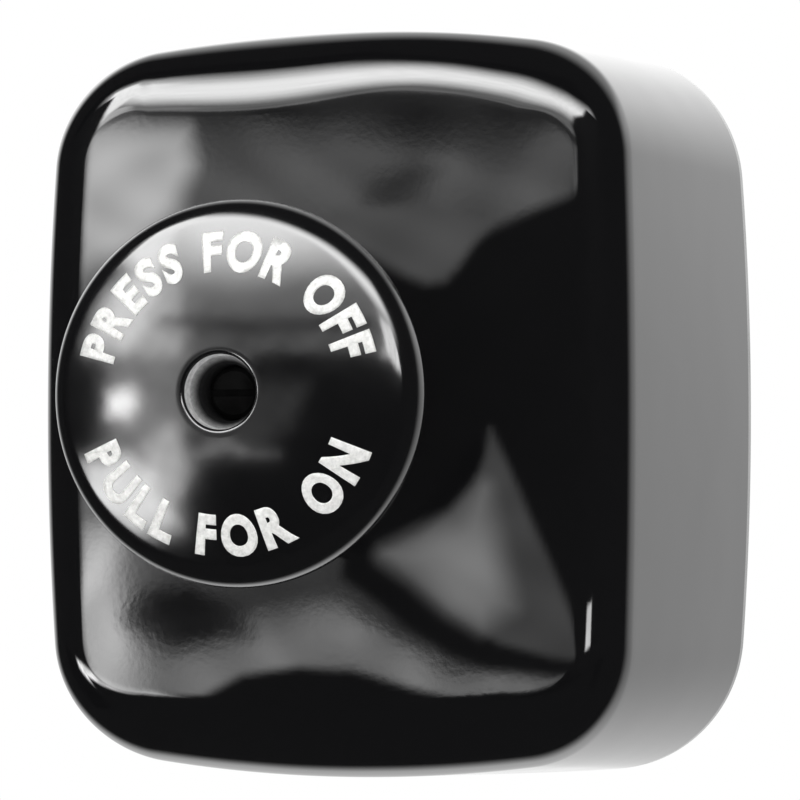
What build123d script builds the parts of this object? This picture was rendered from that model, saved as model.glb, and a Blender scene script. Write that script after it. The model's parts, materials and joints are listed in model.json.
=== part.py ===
from build123d import *
from math import sqrt
import os

# Surface-mounted three-pole switch worked by one mushroom knob: pull for on, push for off.
# All sizes are in millimetres. X runs to the right and Z up. The wall is the plane Y = 0 and
# the switch stands out from it towards -Y. A "height" below is a distance out from the wall.
# The switch is modelled as the photograph shows it, with the knob pulled out and the poles closed.

# Moulded cover: bowed sides that draw in towards a gently crowned front
cover_half_w = 53.0
cover_half_h = 60.0
cover_front_half_w = 47.5
cover_front_half_h = 57.6
cover_front_height = 55.0
cover_apex_height = 62.6
back_bows = (3.0, 3.5)
front_bows = (1.8, 5.0)
back_corner_r = 22.7
front_corner_r = 18.9
crown_r = 600.0
edge_r = 8.0
cover_wall = 3.2
collar_r = 13.0
collar_height = 63.6
neck_hole_r = 8.3

# Knob and plunger
travel = 14.0
knob_r = 28.0
knob_rim_height = 99.1
knob_under_height = knob_rim_height - 2.0
knob_shoulder_height = knob_rim_height + 3.0
knob_apex_height = 107.5
knob_edge_r = 5.0
hub_r = 9.0
hub_rear_height = 83.0
recess_mouth_r = 5.75
recess_r = 4.1
recess_step_height = 103.8
screw_seat_height = 98.0
rod_r = 4.0
rod_end_height = 96.0
spigot_r = 3.0
spigot_end_height = 23.3
knob_screw_r = 2.5
knob_screw_head_r = 3.7
knob_screw_head_h = 2.8
knob_screw_length = 12.0

# Insulating crossbar and the three contact bridges
pole_pitch = 22.0
pole_places = {"left": -pole_pitch, "centre": 0.0, "right": pole_pitch}
bar_half_length = 29.0
bar_half_width = 7.0
bar_rear_height = 28.0
bar_front_height = 38.0
strip_w = 10.0
strip_t = 1.2
bridge_half_length = 20.0
shoe_height = 32.5
stop_post_x = 20.0
stop_post_r = 4.0

# Base plate, contact block and fixed contacts
plate_t = 5.0
plate_gap = 0.8
block_half_w = 33.0
block_half_h = 40.0
block_floor_height = 9.0
seat_height = 23.0
seat_half_w = 8.0
seat_inner_z = 21.6
barrier_height = 38.0
barrier_t = 2.0
contact_gap = 0.1
leaf_height = 36.0
contact_screw_z = 26.2
terminal_screw_z = 34.4
terminal_screw_r = 2.0
block_screw_z = 14.0
wall_hole_r = 2.5
wall_hole_place = (40.0, 28.0)
cable_slot = (22.0, 9.0)
cable_slot_z = 47.2

# Steel frame, guide bush and detent
frame_t = 2.0
frame_half_w = 38.0
frame_half_depth = 12.0
frame_foot_end = 45.0
frame_foot_screw = (41.5, 7.0)
deck_rear_height = 46.0
deck_front_height = deck_rear_height + frame_t
bush_r = 8.0
bush_spigot_r = 6.0
bush_bore_r = rod_r + 0.06
bush_flange_r = 11.0
bush_flange_t = 2.5
bush_end_height = 68.0
ring_nut_r = 12.0
ring_nut_t = 3.4
wire_r = 0.8
wire_height = 41.0
wire_x = 4.15
groove_r = 0.95
loop_centre_z = 6.5
spring_tip_z = -9.0
post_r = 1.6
post_z = loop_centre_z + wire_x - wire_r - post_r - 0.05

# TURNED reads (radius or X, height) for profiles that are revolved about the switch's axis
TURNED = Plane(origin=(0, 0, 0), x_dir=(1, 0, 0), z_dir=(0, 0, -1))
# EDGEWISE reads (Z, height) for strips whose bends are seen from the side
EDGEWISE = Plane(origin=(0, 0, 0), x_dir=(0, 0, 1), z_dir=(1, 0, 0))

os.makedirs("parts", exist_ok=True)


def at(x, z, height):
    """A point given by its place on the wall and its height."""
    return (x, -height, z)


def both_ways(x, z, height):
    """The four points at plus and minus x and z."""
    return [at(side * x, end * z, height) for side in (-1, 1) for end in (-1, 1)]


def at_terminals(z, height):
    """A point on the line side and one on the load side of every pole."""
    return [at(x, end * z, height) for x in pole_places.values() for end in (-1, 1)]


def finish(piece, name):
    """Label one finished piece and write it to its own file."""
    piece.part.label = name
    export_step(piece.part, f"parts/{name}.step")


def barrel_outline(plane, half_w, half_h, corner_r, bows):
    """Four bowed sides that meet in rounded corners."""
    corner_x = half_w - bows[0]
    corner_y = half_h - bows[1]
    with BuildSketch(plane) as outline:
        with BuildLine():
            ThreePointArc((corner_x, -corner_y), (half_w, 0), (corner_x, corner_y))
            ThreePointArc((corner_x, corner_y), (0, half_h), (-corner_x, corner_y))
            ThreePointArc((-corner_x, corner_y), (-half_w, 0), (-corner_x, -corner_y))
            ThreePointArc((-corner_x, -corner_y), (0, -half_h), (corner_x, -corner_y))
        make_face()
        fillet(outline.vertices(), corner_r)
    return outline.sketch


def cover_form(inset):
    """The cover's whole body, drawn in on every side and at the front by inset."""
    back = barrel_outline(
        Plane.XZ, cover_half_w - inset, cover_half_h - inset, back_corner_r - inset, back_bows
    )
    draw_in = (cover_apex_height / cover_front_height) - 1
    tip_half_w = cover_front_half_w - (cover_half_w - cover_front_half_w) * draw_in
    tip_half_h = cover_front_half_h - (cover_half_h - cover_front_half_h) * draw_in
    front = barrel_outline(
        Plane.XZ.offset(cover_apex_height),
        tip_half_w - inset,
        tip_half_h - inset,
        front_corner_r - inset,
        front_bows,
    )
    with BuildPart() as form:
        loft([back, front], ruled=True)
        with Locations(at(0, 0, cover_apex_height - crown_r)):
            Sphere(crown_r - inset, mode=Mode.INTERSECT)
        crown = form.faces().sort_by(Axis.Y)[0]
        fillet(crown.edges(), edge_r - inset * 0.8)
    return form.part


def slotted_screw(head_r, head_h, shank_r, length, slot_w=1.0, slot_depth=1.1):
    """A cheese-head screw whose head stands on height 0 and whose shank points to the wall."""
    with BuildPart() as screw:
        with BuildSketch(Plane.XZ):
            Circle(head_r)
        extrude(amount=head_h)
        rim = screw.faces().sort_by(Axis.Y)[0].edges()
        chamfer(rim, head_h * 0.2)
        with BuildSketch(Plane.XZ):
            Circle(shank_r)
        extrude(amount=-length)
        with BuildSketch(Plane.XZ.offset(head_h - slot_depth)):
            Rectangle(2 * head_r + 1, slot_w)
        extrude(amount=slot_depth, mode=Mode.SUBTRACT)
    return screw.part


# Cover: a thin shell with a low collar round the neck hole
outer_form = cover_form(0)
inner_form = cover_form(cover_wall)
with BuildPart() as cover:
    add(outer_form)
    with BuildSketch(Plane.XZ.offset(cover_apex_height - cover_wall)):
        Circle(collar_r)
    extrude(amount=collar_height - cover_apex_height + cover_wall)
    add(inner_form, mode=Mode.SUBTRACT)
    collar_edge = cover.faces().sort_by(Axis.Y)[0].edges().sort_by(SortBy.RADIUS)[-1]
    fillet(collar_edge, 0.6)
    with BuildSketch(Plane.XZ):
        Circle(neck_hole_r)
    extrude(amount=collar_height + 1, mode=Mode.SUBTRACT)
finish(cover, "cover")

# Base plate: lies inside the cover's rim and carries everything else
plate_inset = cover_wall + plate_gap
plate_outline = barrel_outline(
    Plane.XZ,
    cover_half_w - plate_inset,
    cover_half_h - plate_inset,
    back_corner_r - plate_inset,
    back_bows,
)
with BuildPart() as base_plate:
    extrude(plate_outline, amount=plate_t)
    with Locations(Plane.XZ.offset(plate_t)):
        with GridLocations(2 * wall_hole_place[0], 2 * wall_hole_place[1], 2, 2):
            CounterBoreHole(wall_hole_r, 4.4, 1.6)
        with GridLocations(2 * frame_foot_screw[0], 2 * frame_foot_screw[1], 2, 2):
            Hole(terminal_screw_r)
        with GridLocations(2 * pole_pitch, 2 * block_screw_z, 2, 2):
            Hole(terminal_screw_r)
    with BuildSketch(Plane.XZ):
        with GridLocations(0, 2 * cable_slot_z, 1, 2):
            SlotOverall(*cable_slot)
    extrude(amount=plate_t, mode=Mode.SUBTRACT)
finish(base_plate, "base_plate")

# Contact block: floor, six terminal seats, and barriers between the poles
with BuildPart() as contact_block:
    with BuildSketch(Plane.XZ.offset(plate_t)):
        RectangleRounded(2 * block_half_w, 2 * block_half_h, 3.0)
    extrude(amount=block_floor_height - plate_t)
    seat_length = block_half_h - seat_inner_z
    with BuildSketch(Plane.XZ.offset(plate_t)):
        with GridLocations(pole_pitch, block_half_h + seat_inner_z, 3, 2):
            Rectangle(2 * seat_half_w, seat_length)
    extrude(amount=seat_height - plate_t)
    with BuildSketch(Plane.XZ.offset(plate_t)):
        with GridLocations(pole_pitch, 0, 2, 1):
            Rectangle(barrier_t, 2 * block_half_h)
        with GridLocations(2 * block_half_w - barrier_t, 0, 2, 1):
            Rectangle(barrier_t, 2 * block_half_h - 6.0)
    extrude(amount=barrier_height - plate_t)
    # the crossbar runs in slots through the barriers and comes to rest on their floors
    with BuildSketch(Plane.XZ.offset(bar_rear_height - travel - 0.3)):
        Rectangle(2 * block_half_w - 2 * barrier_t, 2 * bar_half_width + 0.6)
    extrude(amount=barrier_height, mode=Mode.SUBTRACT)
    with Locations(Plane.XZ.offset(seat_height)):
        with GridLocations(pole_pitch, 2 * contact_screw_z, 3, 2):
            Hole(terminal_screw_r, 9.0)
        with GridLocations(pole_pitch, 2 * terminal_screw_z, 3, 2):
            Hole(terminal_screw_r, 9.0)
    with Locations(Plane.XZ.offset(block_floor_height)):
        Hole(7.5, 4.0)
        with GridLocations(2 * pole_pitch, 2 * block_screw_z, 2, 2):
            Hole(terminal_screw_r, 4.0)
finish(contact_block, "contact_block")

block_screw = slotted_screw(3.4, 2.2, terminal_screw_r, block_floor_height)
with BuildPart() as block_screws:
    with Locations(*both_ways(pole_pitch, block_screw_z, block_floor_height)):
        add(block_screw)
finish(block_screws, "block_screws")


def fixed_contact(x, side):
    """A strip on its terminal seat, bent up into the leaf that the bridge wipes along."""
    leaf_z = bridge_half_length + contact_gap
    with BuildPart() as contact:
        with BuildSketch(EDGEWISE):
            with BuildLine():
                Polyline(
                    (leaf_z, seat_height),
                    (39.0, seat_height),
                    (39.0, seat_height + strip_t),
                    (leaf_z + strip_t, seat_height + strip_t),
                    (leaf_z + strip_t, leaf_height),
                    (leaf_z, leaf_height),
                    close=True,
                )
            make_face()
        extrude(amount=strip_w / 2, both=True)
        bend = contact.edges().filter_by(Axis.X).sort_by_distance(at(0, leaf_z, seat_height))[0]
        fillet(bend, 2.0)
        with Locations(Plane.XZ.offset(seat_height + strip_t)):
            with Locations((0, contact_screw_z), (0, terminal_screw_z)):
                Hole(terminal_screw_r)
    turned = contact.part if side > 0 else contact.part.mirror(Plane.XY)
    with BuildPart() as placed:
        with Locations((x, 0, 0)):
            add(turned)
    return placed


for place, pole_x in pole_places.items():
    finish(fixed_contact(pole_x, 1), f"line_contact_{place}")
    finish(fixed_contact(pole_x, -1), f"load_contact_{place}")

contact_top = seat_height + strip_t
contact_screw = slotted_screw(3.2, 2.2, terminal_screw_r, 8.0)
with BuildPart() as contact_screws:
    with Locations(*at_terminals(contact_screw_z, contact_top)):
        add(contact_screw)
finish(contact_screws, "contact_screws")

# Terminals: a square saddle washer under each clamping screw, raised as if on a wire
washer_gap = 1.6
washer_t = 1.2
with BuildPart() as terminal_washers:
    with Locations(*at_terminals(terminal_screw_z, contact_top)):
        Box(8.4, washer_gap + washer_t, 7.6, align=(Align.CENTER, Align.MAX, Align.CENTER))
    with BuildSketch(Plane.XZ.offset(contact_top)):
        with GridLocations(pole_pitch, 2 * terminal_screw_z, 3, 2):
            Rectangle(6.2, 9.0)
    extrude(amount=washer_gap, mode=Mode.SUBTRACT)
    with Locations(Plane.XZ.offset(contact_top + 10)):
        with GridLocations(pole_pitch, 2 * terminal_screw_z, 3, 2):
            Hole(terminal_screw_r + 0.15)
finish(terminal_washers, "terminal_washers")

washer_top = contact_top + washer_gap + washer_t
terminal_screw = slotted_screw(3.4, 3.0, terminal_screw_r, 10.0, 1.1, 1.4)
with BuildPart() as terminal_screws:
    with Locations(*at_terminals(terminal_screw_z, washer_top)):
        add(terminal_screw)
finish(terminal_screws, "terminal_screws")

# Frame: one steel strap bent over the contact block, with two feet on the base plate
with BuildPart() as frame:
    leg_inner = frame_half_w - frame_t
    foot_top = plate_t + frame_t
    with BuildSketch(TURNED) as strap:
        with BuildLine():
            Polyline(
                (-leg_inner, plate_t),
                (-leg_inner, deck_rear_height),
                (leg_inner, deck_rear_height),
                (leg_inner, plate_t),
                (frame_foot_end, plate_t),
                (frame_foot_end, foot_top),
                (frame_half_w, foot_top),
                (frame_half_w, deck_front_height),
                (-frame_half_w, deck_front_height),
                (-frame_half_w, foot_top),
                (-frame_foot_end, foot_top),
                (-frame_foot_end, plate_t),
                close=True,
            )
        make_face()
        outer_bends = [v for v in strap.vertices() if abs(v.X) == frame_half_w and v.Y > foot_top]
        foot_bends = [v for v in strap.vertices() if abs(v.X) == leg_inner and v.Y < foot_top]
        inner_bends = [v for v in strap.vertices() if abs(v.X) == leg_inner and v.Y > foot_top]
        step_bends = [v for v in strap.vertices() if abs(v.X) == frame_half_w and v.Y == foot_top]
        fillet(outer_bends + foot_bends, frame_t + 1.0)
        fillet(inner_bends + step_bends, 1.0)
    extrude(amount=frame_half_depth, both=True)
    with Locations(Plane.XZ.offset(deck_front_height)):
        Hole(bush_spigot_r, 4.0)
        with Locations((0, post_z)):
            Hole(post_r, 4.0)
    with Locations(Plane.XZ.offset(foot_top)):
        with GridLocations(2 * frame_foot_screw[0], 2 * frame_foot_screw[1], 2, 2):
            Hole(terminal_screw_r + 0.2, 4.0)
finish(frame, "frame")

frame_screw = slotted_screw(3.2, 2.2, terminal_screw_r, 6.0)
with BuildPart() as frame_screws:
    with Locations(*both_ways(*frame_foot_screw, foot_top)):
        add(frame_screw)
finish(frame_screws, "frame_screws")

# Guide bush: flanged on the frame's deck, its neck stands out through the cover
with BuildPart() as guide_bush:
    with BuildSketch(TURNED):
        with BuildLine():
            Polyline(
                (bush_bore_r, deck_rear_height),
                (bush_spigot_r, deck_rear_height),
                (bush_spigot_r, deck_front_height),
                (bush_flange_r, deck_front_height),
                (bush_flange_r, deck_front_height + bush_flange_t),
                (bush_r, deck_front_height + bush_flange_t),
                (bush_r, bush_end_height - 0.6),
                (bush_r - 0.6, bush_end_height),
                (bush_bore_r, bush_end_height),
                close=True,
            )
        make_face()
    revolve(axis=Axis.Y)
finish(guide_bush, "guide_bush")

# Ring nut: holds the cover down on its rim, turned by two spanner slots
with BuildPart() as ring_nut:
    with BuildSketch(Plane.XZ.offset(collar_height)):
        Circle(ring_nut_r)
        Circle(bush_r, mode=Mode.SUBTRACT)
    extrude(amount=ring_nut_t)
    nut_rim = ring_nut.edges().group_by(Axis.Y)[0].sort_by(SortBy.RADIUS)[-1]
    chamfer(nut_rim, 0.5)
    with BuildSketch(Plane.XZ.offset(collar_height + ring_nut_t - 1.6)):
        Rectangle(2 * ring_nut_r + 2, 2.4)
        Circle(bush_r + 1.2, mode=Mode.SUBTRACT)
    extrude(amount=1.6, mode=Mode.SUBTRACT)
finish(ring_nut, "ring_nut")

# Detent: a hairpin of spring wire that snaps into one of two grooves round the rod
with BuildPart() as detent_spring:
    with BuildLine(Plane.XZ.offset(wire_height)):
        near_leg = Line((wire_x, spring_tip_z), (wire_x, loop_centre_z))
        bow = ThreePointArc(near_leg @ 1, (0, loop_centre_z + wire_x), (-wire_x, loop_centre_z))
        far_leg = Line(bow @ 1, (-wire_x, spring_tip_z))
    with BuildSketch(Plane(origin=at(wire_x, spring_tip_z, wire_height), z_dir=(0, 0, 1))):
        Circle(wire_r)
    sweep()
finish(detent_spring, "detent_spring")

with BuildPart() as spring_post:
    with BuildSketch(Plane.XZ.offset(wire_height - wire_r - 0.2)):
        with Locations((0, post_z)):
            Circle(post_r)
    extrude(amount=deck_front_height - wire_height + wire_r + 0.2)
    with BuildSketch(Plane.XZ.offset(wire_height - wire_r - 0.2)):
        with Locations((0, post_z)):
            Circle(3.0)
    extrude(amount=-1.2)
finish(spring_post, "spring_post")

# Plunger rod: bored for the knob screw, grooved for the detent, with a spigot for the crossbar
with BuildPart() as plunger_rod:
    with BuildSketch(TURNED):
        with BuildLine():
            Polyline(
                (0, spigot_end_height),
                (spigot_r, spigot_end_height),
                (spigot_r, bar_front_height),
                (rod_r, bar_front_height),
                (rod_r, rod_end_height),
                (knob_screw_r, rod_end_height),
                (knob_screw_r, rod_end_height - knob_screw_length),
                (0, rod_end_height - knob_screw_length - 1.4),
                close=True,
            )
        make_face()
        with Locations((wire_x, wire_height), (wire_x, wire_height + travel)):
            Circle(groove_r, mode=Mode.SUBTRACT)
    revolve(axis=Axis.Y)
finish(plunger_rod, "plunger_rod")

# Knob: a domed mushroom head on a hub, with a flared recess for its screw
dome_rise = knob_apex_height - knob_shoulder_height
knob_dome_r = (knob_r**2 + dome_rise**2) / (2 * dome_rise)
dome_centre_height = knob_apex_height - knob_dome_r


def dome_height(radius):
    """Height of the knob's dome at a distance from the axis."""
    return dome_centre_height + sqrt(knob_dome_r**2 - radius**2)


with BuildPart() as knob:
    with BuildSketch(TURNED) as section:
        with BuildLine():
            dome = ThreePointArc(
                (recess_mouth_r, dome_height(recess_mouth_r)),
                (knob_r * 0.6, dome_height(knob_r * 0.6)),
                (knob_r, dome_height(knob_r)),
            )
            Polyline(
                dome @ 1,
                (knob_r, knob_under_height),
                (hub_r, knob_under_height),
                (hub_r, hub_rear_height),
                (rod_r, hub_rear_height),
                (rod_r, rod_end_height),
                (knob_screw_r + 0.1, rod_end_height),
                (knob_screw_r + 0.1, screw_seat_height),
                (recess_r, screw_seat_height),
                (recess_r, recess_step_height),
                dome @ 0,
            )
        make_face()
        rim_top = section.vertices().sort_by_distance(dome @ 1)[0]
        rim_under = section.vertices().sort_by_distance((knob_r, knob_under_height))[0]
        hub_root = section.vertices().sort_by_distance((hub_r, knob_under_height))[0]
        mouth = section.vertices().sort_by_distance(dome @ 0)[0]
        fillet(rim_top, knob_edge_r)
        fillet(rim_under, 1.8)
        fillet(hub_root, 3.0)
        fillet(mouth, 0.5)
    revolve(axis=Axis.Y)
finish(knob, "knob")

clamping_screw = slotted_screw(knob_screw_head_r, knob_screw_head_h, knob_screw_r, knob_screw_length)
with BuildPart() as knob_screw:
    with Locations(at(0, 0, screw_seat_height)):
        add(clamping_screw)
finish(knob_screw, "knob_screw")

# Crossbar: seats for the three bridges behind, two stop posts in front
with BuildPart() as crossbar:
    with BuildSketch(Plane.XZ.offset(bar_rear_height)):
        RectangleRounded(2 * bar_half_length, 2 * bar_half_width, 3.0)
    extrude(amount=bar_front_height - bar_rear_height)
    fillet(crossbar.faces().sort_by(Axis.Y)[0].edges(), 1.0)
    with BuildSketch(Plane.XZ.offset(bar_front_height)):
        with GridLocations(2 * stop_post_x, 0, 2, 1):
            Circle(stop_post_r)
    extrude(amount=deck_rear_height - bar_front_height - 0.3)
    with BuildSketch(Plane.XZ.offset(bar_rear_height)):
        with GridLocations(pole_pitch, 0, 3, 1):
            Rectangle(strip_w, 2 * bar_half_width)
    extrude(amount=strip_t, mode=Mode.SUBTRACT)
    with Locations(Plane.XZ.offset(bar_front_height)):
        Hole(spigot_r)
    with Locations(Plane.XZ.offset(bar_rear_height + 7.0)):
        with GridLocations(2 * pole_pitch, 0, 2, 1):
            Hole(terminal_screw_r, 7.0)
finish(crossbar, "crossbar")


def contact_bridge(x, hole_r):
    """A strip across one pole, its two ends turned up into wiping shoes."""
    inner = bridge_half_length - strip_t
    strip_front = bar_rear_height + strip_t
    with BuildPart() as bridge:
        with BuildSketch(EDGEWISE) as bent:
            with BuildLine():
                Polyline(
                    (-bridge_half_length, bar_rear_height),
                    (bridge_half_length, bar_rear_height),
                    (bridge_half_length, shoe_height),
                    (inner, shoe_height),
                    (inner, strip_front),
                    (-inner, strip_front),
                    (-inner, shoe_height),
                    (-bridge_half_length, shoe_height),
                    close=True,
                )
            make_face()
            outer_bends = [v for v in bent.vertices() if v.Y == bar_rear_height]
            inner_bends = [v for v in bent.vertices() if v.Y == strip_front]
            fillet(outer_bends, strip_t + 0.6)
            fillet(inner_bends, 0.6)
        extrude(amount=strip_w / 2, both=True)
        with Locations(Plane.XZ.offset(strip_front)):
            Hole(hole_r, 3.0)
    with BuildPart() as placed:
        with Locations((x, 0, 0)):
            add(bridge.part)
    return placed


for place, pole_x in pole_places.items():
    finish(contact_bridge(pole_x, terminal_screw_r if pole_x else spigot_r), f"bridge_{place}")

# the outer bridges are screwed from behind, the centre one is held by the rod's own nut
bridge_screw = slotted_screw(3.2, 1.8, terminal_screw_r, 7.0)
facing_wall = [Location(at(x, 0, bar_rear_height), (180, 0, 0)) for x in (-pole_pitch, pole_pitch)]
with BuildPart() as bridge_screws:
    with Locations(*facing_wall):
        add(bridge_screw)
finish(bridge_screws, "bridge_screws")

with BuildPart() as rod_washer:
    with BuildSketch(Plane.XZ.offset(bar_rear_height - 0.8)):
        Circle(4.9)
        Circle(spigot_r, mode=Mode.SUBTRACT)
    extrude(amount=0.8)
finish(rod_washer, "rod_washer")

with BuildPart() as rod_nut:
    with BuildSketch(Plane.XZ.offset(bar_rear_height - 0.8)):
        RegularPolygon(4.9, 6, major_radius=False)
        Circle(spigot_r, mode=Mode.SUBTRACT)
    extrude(amount=-3.2)
finish(rod_nut, "rod_nut")
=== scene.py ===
# %% [markdown]
# # A three-pole push button switch
#
# The object is a black moulded box for a wall, with bowed sides, a gently crowned face and a
# large mushroom knob that stands out from it on a hidden rod. Everything is in metres, with X
# to the right, Z up and the wall at Y = 0, so that the switch stands out towards -Y.
#
# The working pieces come from the construction model. The box and the knob are made again here,
# because a polished black moulding is all reflection: any flat facet in it shows at once.

# %% Load the construction model
import json
import bpy
import numpy as np
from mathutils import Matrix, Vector


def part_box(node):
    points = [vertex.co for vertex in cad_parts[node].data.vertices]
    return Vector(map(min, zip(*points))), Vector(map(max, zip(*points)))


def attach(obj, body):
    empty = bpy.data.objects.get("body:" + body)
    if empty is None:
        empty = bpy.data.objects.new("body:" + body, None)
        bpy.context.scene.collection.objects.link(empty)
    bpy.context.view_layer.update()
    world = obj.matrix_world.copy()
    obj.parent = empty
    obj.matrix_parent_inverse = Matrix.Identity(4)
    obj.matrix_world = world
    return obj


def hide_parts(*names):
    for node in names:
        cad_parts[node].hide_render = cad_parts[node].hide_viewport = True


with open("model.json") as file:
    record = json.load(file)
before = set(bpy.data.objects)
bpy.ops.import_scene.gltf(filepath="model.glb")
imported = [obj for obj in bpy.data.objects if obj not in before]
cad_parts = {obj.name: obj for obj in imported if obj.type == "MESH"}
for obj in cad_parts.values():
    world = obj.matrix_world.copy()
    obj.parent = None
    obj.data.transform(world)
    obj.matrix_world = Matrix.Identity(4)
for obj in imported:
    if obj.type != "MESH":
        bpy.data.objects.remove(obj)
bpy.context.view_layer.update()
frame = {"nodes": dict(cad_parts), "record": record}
MM = 0.001
print("pieces in the construction model:", len(frame["nodes"]))

# %% [markdown]
# ## From numbers to a mesh
#
# A smooth piece is worked out as a grid of points: one direction runs round it and the other
# runs along its section. The grid's squares become the faces. Working on the whole grid as one
# array keeps the shape exact and the code short.

# %% A grid of points becomes a mesh


def grid_faces(rows, columns, close_rows=True, close_columns=True):
    """Four corner indices for each square of a grid, wrapping round where it closes on itself."""
    r = np.arange(rows if close_rows else rows - 1)
    c = np.arange(columns if close_columns else columns - 1)
    rr, cc = np.meshgrid(r, c, indexing="ij")
    r_next = (rr + 1) % rows
    c_next = (cc + 1) % columns
    corners = [rr * columns + cc, r_next * columns + cc, r_next * columns + c_next, rr * columns + c_next]
    return np.stack([corner.ravel() for corner in corners], axis=1)


def make_mesh(name, points, faces, body, finish):
    """Build a smooth mesh object from points in millimetres, and let it ride on a body."""
    mesh = bpy.data.meshes.new(name)
    points = np.asarray(points, np.float32).reshape(-1, 3) * MM
    faces = np.asarray(faces, np.int32)
    mesh.vertices.add(len(points))
    mesh.vertices.foreach_set("co", points.ravel())
    mesh.loops.add(faces.size)
    mesh.loops.foreach_set("vertex_index", faces.ravel())
    mesh.polygons.add(len(faces))
    mesh.polygons.foreach_set("loop_start", np.arange(0, faces.size, faces.shape[1], dtype=np.int32))
    mesh.polygons.foreach_set("use_smooth", np.ones(len(faces), bool))
    mesh.update(calc_edges=True)
    mesh.validate()
    mesh.materials.append(finish)
    piece = bpy.data.objects.new(name, mesh)
    bpy.context.scene.collection.objects.link(piece)
    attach(piece, body)
    print(name, "points:", len(points), "faces:", len(faces))
    return piece


# %% [markdown]
# ## The black moulding
#
# Phenolic resin comes out of a polished steel mould with a deep gloss. It is never quite flat:
# it shrinks a little as it cures, so reflections wander, and years of handling leave the gloss
# slightly uneven. So the finish is a nearly black base with a slightly wandering surface: broad
# waves a tenth or two of a millimetre high, and a roughness that drifts from place to place.

# %% Helpers for finishes


def new_finish(name, colour, roughness, metallic=0.0, ior=1.5):
    """A material whose plain values sit on the shader's own sockets."""
    material = bpy.data.materials.new(name)
    material.use_nodes = True
    shader = material.node_tree.nodes["Principled BSDF"]
    shader.inputs["Base Color"].default_value = (*colour, 1.0)
    shader.inputs["Roughness"].default_value = roughness
    shader.inputs["Metallic"].default_value = metallic
    shader.inputs["IOR"].default_value = ior
    return material, material.node_tree, shader


def noise(tree, scale, detail=3.0, stretch=(1.0, 1.0, 1.0), rough=0.5):
    """Three-dimensional noise fixed to the piece, with scale in blobs a metre."""
    place = tree.nodes.new("ShaderNodeTexCoord")
    mapping = tree.nodes.new("ShaderNodeMapping")
    mapping.inputs["Scale"].default_value = stretch
    texture = tree.nodes.new("ShaderNodeTexNoise")
    texture.inputs["Scale"].default_value = scale
    texture.inputs["Detail"].default_value = detail
    texture.inputs["Roughness"].default_value = rough
    tree.links.new(place.outputs["Object"], mapping.inputs["Vector"])
    tree.links.new(mapping.outputs["Vector"], texture.inputs["Vector"])
    return texture.outputs["Fac"]


def ramp(tree, source, low, high, dark, light):
    """Map a value between low and high onto two greys or two colours."""
    node = tree.nodes.new("ShaderNodeValToRGB")
    for stop, position, colour in zip(node.color_ramp.elements, (low, high), (dark, light)):
        stop.position = position
        stop.color = (*np.broadcast_to(colour, 3), 1.0)
    tree.links.new(source, node.inputs["Fac"])
    return node.outputs["Color"]


def bump(tree, height, distance, under=None):
    """Tilt the surface by a height map; distance is the map's full height in metres."""
    node = tree.nodes.new("ShaderNodeBump")
    node.inputs["Distance"].default_value = distance
    tree.links.new(height, node.inputs["Height"])
    if under is not None:
        tree.links.new(under, node.inputs["Normal"])
    return node.outputs["Normal"]


def point_value(tree, value_name):
    """The value of that name which each point of the mesh carries."""
    node = tree.nodes.new("ShaderNodeAttribute")
    node.attribute_name = value_name
    return node.outputs["Fac"]


def carry_over(tree, source, start, stop, first, last, interpolation="SMOOTHSTEP"):
    """Turn start..stop into first..last, and hold the last two beyond them."""
    node = tree.nodes.new("ShaderNodeMapRange")
    node.interpolation_type = interpolation
    for socket, value in zip(("From Min", "From Max", "To Min", "To Max"), (start, stop, first, last)):
        node.inputs[socket].default_value = value
    tree.links.new(source, node.inputs["Value"])
    return node.outputs["Result"]


# %% Polished black phenolic
PHENOLIC_BLACK = (0.006, 0.006, 0.0065)
PHENOLIC_IOR = 1.62
GRAIN_HEIGHT = 0.003 * MM
USUAL_SPECULAR = 0.5


def polished_phenolic(name, wave_height, roughness_range):
    """Near-black moulding with wandering reflections, uneven gloss and a very fine grain."""
    material, tree, shader = new_finish(name, PHENOLIC_BLACK, 0.1, ior=PHENOLIC_IOR)
    slow = noise(tree, 26.0, detail=2.0)
    grain = noise(tree, 900.0, detail=4.0)
    handled = noise(tree, 60.0, detail=5.0, rough=0.6)
    tree.links.new(ramp(tree, handled, 0.35, 0.7, *roughness_range), shader.inputs["Roughness"])
    waves = bump(tree, slow, wave_height)
    tree.links.new(bump(tree, grain, GRAIN_HEIGHT, under=waves), shader.inputs["Normal"])
    return material


def recess_painted_highlight_no_gloss(material):
    """A painted highlight, grainy pale, where the piece's own pale value is one, and without gloss where dull
    is one.
    """
    tree = material.node_tree
    shader = tree.nodes["Principled BSDF"]
    # The painted highlight's colour: a grainy pale between two greys.
    painted_highlight = ramp(tree, noise(tree, 1100.0, detail=5.0, rough=0.7), 0.3, 0.75, 0.5, 0.95)
    mixer = tree.nodes.new("ShaderNodeMix")
    mixer.data_type = "RGBA"
    mixer.inputs["A"].default_value = shader.inputs["Base Color"].default_value
    tree.links.new(point_value(tree, "pale"), mixer.inputs["Factor"])
    tree.links.new(painted_highlight, mixer.inputs["B"])
    tree.links.new(mixer.outputs["Result"], shader.inputs["Base Color"])
    specular = carry_over(tree, point_value(tree, "dull"), 0.0, 1.0, USUAL_SPECULAR, 0.0, "LINEAR")
    tree.links.new(specular, shader.inputs["Specular IOR Level"])


cover_black = polished_phenolic("cover_black", wave_height=0.22 * MM, roughness_range=(0.03, 0.08))
knob_black = polished_phenolic("knob_black", wave_height=0.10 * MM, roughness_range=(0.10, 0.17))
# The knob's recess gets a painted highlight on its upper wall and loses its gloss.
recess_painted_highlight_no_gloss(knob_black)
print("finishes:", [m.name for m in (cover_black, knob_black)])

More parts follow.
